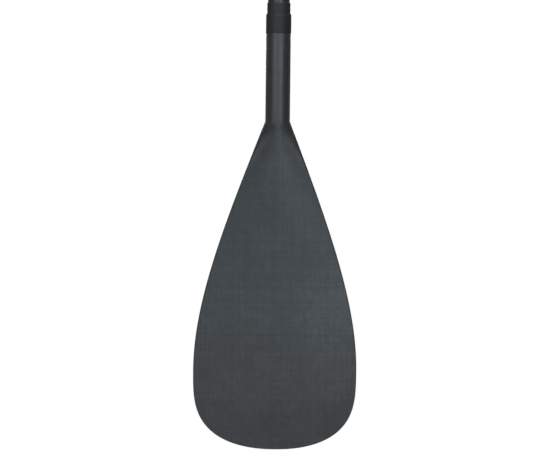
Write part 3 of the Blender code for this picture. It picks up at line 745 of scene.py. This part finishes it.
def curve_through(points, steps):
    """A smooth curve through points, with its tangents set by the distances between them."""
    knots = [0.0]
    for a, b in zip(points, points[1:]):
        knots.append(knots[-1] + math.dist(a, b) ** 0.5)
    tangents = []
    for i in range(len(points)):
        before, after = max(0, i - 1), min(len(points) - 1, i + 1)
        span = knots[after] - knots[before]
        tangents.append([(q - p) / span for p, q in zip(points[before], points[after])])
    curve = [points[0]]
    for i in range(len(points) - 1):
        span = knots[i + 1] - knots[i]
        for step in range(1, steps + 1):
            t = step / steps
            start, end = 2 * t**3 - 3 * t * t + 1, 3 * t * t - 2 * t**3
            leave, arrive = span * (t**3 - 2 * t * t + t), span * (t**3 - t * t)
            sides = zip(points[i], tangents[i], points[i + 1], tangents[i + 1])
            curve.append(tuple(start * p + leave * dp + end * q + arrive * dq for p, dp, q, dq in sides))
    return curve


def grip_loop(z, half_width, half_depth, seam):
    """One section of the grip. The seam between its two shells runs down both sides."""
    quarter = []
    for share, inset in ((0.0, seam), (0.3, seam), (1.0, 0.0)):
        angle = min(0.3 * share, math.asin(min(1.0, SEAM_HALF * share / half_depth)))
        quarter.append((angle, inset))
    edge = quarter[-1][0]
    quarter += [(edge + (math.pi / 2 - edge) * j / 22, 0.0) for j in range(1, 23)]
    half = quarter + [(math.pi - a, inset) for a, inset in quarter[-2::-1]]
    loop = half + [(-a, inset) for a, inset in half[-2:0:-1]]
    return [((half_width - d) * math.cos(a), (half_depth - d) * math.sin(a), z) for a, d in loop]


def make_grip():
    foot = box_mm("grip_front_shell")[0][2]
    outer, inner = [], []
    for height, half_width, half_depth in curve_through(GRIP_SECTIONS, 5):
        half_width = min(half_width, GRIP_HALF_WIDTH)
        seam = SEAM_DEPTH * min(1.0, half_depth / 8)
        outer.append(grip_loop(foot + height, half_width, half_depth, seam))
    for height, half_width, half_depth in curve_through(GRIP_SECTIONS, 3):
        if half_depth - GRIP_WALL > 1.0:
            z = foot + min(height, GRIP_SECTIONS[-1][0] - GRIP_WALL)
            inner.append(grip_loop(z, half_width - GRIP_WALL, half_depth - GRIP_WALL, 0.0))
    grip = hollow_loft("grip_skin", outer, inner)
    grip.data.materials.append(GRIP)
    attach(grip, "grip_section")
    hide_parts("grip_front_shell", "grip_rear_shell")


def make_grip_sleeve():
    low, high = box_mm("grip_sleeve")
    bottom, top = low[2], high[2]
    outside = high[0] - 0.03
    inside = UPPER_R + 0.15
    profile = [(outside - 0.2, top), (outside - 0.05, top - 0.3)]
    profile += [(outside, top - 0.8 - (top - bottom - 1.6) * i / 20) for i in range(21)]
    profile += [(outside - 0.05, bottom + 0.3), (outside - 0.2, bottom), (inside, bottom), (inside, top)]

    def ripple(angle, z):
        if z > top - 0.3 or z < bottom + 0.3:
            return 0.0
        return 0.018 * (math.sin(3 * angle + 0.4 * z) + 0.6 * math.sin(4 * angle - 0.8 * z + 2.0))

    sleeve = turned("grip_sleeve_skin", profile, ripple=ripple, sharp=50)
    sleeve.data.materials.append(SHRINK)
    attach(sleeve, "grip_section")
    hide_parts("grip_sleeve")


# ---------------------------------------------------------------- clamp


def softened(node, body, slot, material, width_mm, angle=30.0):
    """The same part with smooth sides and rounded edges."""
    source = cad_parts[node]
    shape = bmesh.new()
    shape.from_mesh(source.data)
    bmesh.ops.remove_doubles(shape, verts=shape.verts, dist=0.002 * MM)
    bmesh.ops.dissolve_limit(shape, angle_limit=math.radians(0.5), verts=shape.verts, edges=shape.edges)
    mesh = bpy.data.meshes.new(node + "_soft")
    shape.to_mesh(mesh)
    shape.free()
    mesh.shade_smooth()
    mesh.set_sharp_from_angle(angle=math.radians(angle))
    piece = new_object(node + "_soft", mesh)
    piece.matrix_world = source.matrix_world.copy()
    bevel = piece.modifiers.new("soft edges", "BEVEL")
    bevel.width = width_mm * MM
    bevel.segments = 3
    bevel.limit_method = "ANGLE"
    bevel.angle_limit = math.radians(angle)
    bevel.harden_normals = True
    mesh.materials.clear()
    mesh.materials.append(material)
    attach(piece, body)
    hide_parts(node)


def make_clamp():
    """The clamp's parts: node, body, slot, material and the width of the rounded edges."""
    parts = (
        ("clamp_collar", "blade_section", "clamp_plastic", CLAMP, 0.5),
        ("cam_saddle", "blade_section", "nylon", NYLON, 0.3),
        ("nut_washer", "blade_section", "stainless_steel", STEEL, 0.2),
        ("tension_bolt", "blade_section", "stainless_steel", STEEL, 0.3),
        ("lever_pin", "blade_section", "stainless_steel", STEEL, 0.3),
        ("clamp_lever", "lever", "clamp_plastic", CLAMP, 0.5),
        ("thumb_nut", "nut", "clamp_plastic", CLAMP, 0.35),
    )
    for part in parts:
        softened(*part)


# ---------------------------------------------------------------- stage, light and camera


# The floor lies below the photograph's frame
FLOOR_BELOW_TIP = 60.0
FLOOR_RINGS = (260.0, 500.0, 640.0)


def make_stage():
    shape = bmesh.new()
    loops = [[shape.verts.new(p) for p in ring_points(r, 0.0)] for r in FLOOR_RINGS]
    shape.faces.new(loops[0])
    for a, b in zip(loops, loops[1:]):
        bridge(shape, a, b)
    floor = shape_object("floor", shape)
    floor.location = (0, 0.03, (TIP_Z - FLOOR_BELOW_TIP) * MM)
    graph = Graph("pale_floor", 0.85)
    tone = graph.blend(graph.noise(graph.place(), 3.0), (0.715, 0.70, 0.66), (0.755, 0.74, 0.70))
    graph.feed("Base Color", tone)
    floor.data.materials.append(graph.material)


LIGHT_DISTANCE = 2.4
AMBIENT = 0.07
WARM = (1.0, 0.99, 0.82)

# Panels of light: azimuth in degrees, lowest and highest z, width, radiance, colour.
# Azimuth 0 is the photograph's side.
PANELS = {
    "left": (-31, (0.2, 1.2), 1.05, 6.3, (0.90, 1.02, 1.08)),
    "right": (22, (0.2, 1.2), 1.4, 3.6, (0.98, 0.92, 1.12)),
    "right_low": (31, (-0.4, 0.2), 1.0, 1.3, (0.86, 1.04, 1.10)),
    "overhead": (0, (1.2, 2.6), 1.6, 12.0, (0.84, 0.98, 1.18)),
    "front_low": (0, (-1.35, -0.5), 1.3, 1.22, (0.79, 1.04, 1.22)),
    "front_low_right": (16, (-1.35, -0.95), 0.9, 1.9, (0.81, 1.03, 1.16)),
    "back": (180, (0.0, 1.6), 1.6, 6.0, (1.0, 1.0, 1.0)),
    "back_low": (180, (-1.5, -0.4), 1.5, 1.5, (1.0, 1.0, 1.0)),
    "side_left": (-125, (-0.8, 1.4), 0.9, 0.4, WARM),
    "side_right": (125, (-0.8, 1.4), 0.9, 0.3, WARM),
}


def area_light(name, azimuth, span, width, radiance, colour):
    """An upright panel of light that faces the shaft's axis."""
    data = bpy.data.lights.new(name, "AREA")
    data.shape = "RECTANGLE"
    data.size, data.size_y = width, span[1] - span[0]
    data.energy = radiance * math.pi * data.size * data.size_y
    data.color = colour
    light = bpy.data.objects.new(name, data)
    bpy.context.scene.collection.objects.link(light)
    a = math.radians(azimuth)
    way = Vector((math.sin(a), -math.cos(a), 0.0))
    light.location = way * LIGHT_DISTANCE + Vector((0, 0, (span[0] + span[1]) / 2))
    light.rotation_euler = (-way).to_track_quat("-Z", "Y").to_euler()
    light.visible_camera = False


def make_light():
    """A white background for the camera, a dim warm fill for everything else, and the panels."""
    world = bpy.data.worlds.new("studio")
    bpy.context.scene.world = world
    world.use_nodes = True
    nodes, links = world.node_tree.nodes, world.node_tree.links
    seen = nodes["Background"]
    seen.inputs["Color"].default_value = (1, 1, 1, 1)
    seen.inputs["Strength"].default_value = 1.0
    fill = nodes.new("ShaderNodeBackground")
    fill.inputs["Color"].default_value = (*WARM, 1.0)
    fill.inputs["Strength"].default_value = AMBIENT
    path = nodes.new("ShaderNodeLightPath")
    mix = nodes.new("ShaderNodeMixShader")
    links.new(path.outputs["Is Camera Ray"], mix.inputs["Fac"])
    links.new(fill.outputs[0], mix.inputs[1])
    links.new(seen.outputs[0], mix.inputs[2])
    links.new(mix.outputs[0], nodes["World Output"].inputs["Surface"])
    for name, panel in PANELS.items():
        area_light(name, *panel)


# Metres. The view's width is measured at the shaft, and the roll is in radians.
CAMERA_DISTANCE = 12.0
VIEW_WIDTH = 0.7241
CAMERA_TARGET = (-0.0018, 0.0, -0.2923)
CAMERA_ROLL = 0.0115


def make_camera():
    """A long lens in front of the power face, framed as in the photograph."""
    data = bpy.data.cameras.new("camera")
    data.lens = data.sensor_width * CAMERA_DISTANCE / VIEW_WIDTH
    data.clip_end = 100.0
    camera = bpy.data.objects.new("camera", data)
    bpy.context.scene.collection.objects.link(camera)
    x, y, z = CAMERA_TARGET
    camera.location = (x, y - CAMERA_DISTANCE, z)
    camera.rotation_mode = "QUATERNION"
    look = Vector((0, 1, 0)).to_track_quat("-Z", "Y")
    camera.rotation_quaternion = look @ Quaternion((0, 0, 1), CAMERA_ROLL)
    bpy.context.scene.camera = camera


# ---------------------------------------------------------------- scene

NODE_MATERIALS = {
    "blade_core": FOAM,
    "neck_plug": FOAM,
    "shaft_bulkhead": FOAM,
    "grip_filler": FOAM,
    "lower_shaft": CARBON_LOWER,
    "upper_shaft": CARBON_UPPER,
    "clamp_collar": CLAMP,
    "clamp_lever": CLAMP,
    "thumb_nut": CLAMP,
    "clamp_liner": NYLON,
    "cam_saddle": NYLON,
    "guide_bush": NYLON,
    "grip_stem": NYLON,
    "guide_o_ring": RUBBER,
    "tension_bolt": STEEL,
    "lever_pin": STEEL,
    "nut_washer": STEEL,
    "grip_front_shell": GRIP,
    "grip_rear_shell": GRIP,
    "grip_sleeve": SHRINK,
}

for node, material in NODE_MATERIALS.items():
    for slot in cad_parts[node].material_slots:
        slot.material = material

bpy.context.scene.view_settings.view_transform = "Standard"
make_blade()
make_joint_sleeve()
make_lower_shaft()
make_upper_shaft()
make_grip()
make_grip_sleeve()
make_clamp()
make_stage()
make_light()
make_camera()
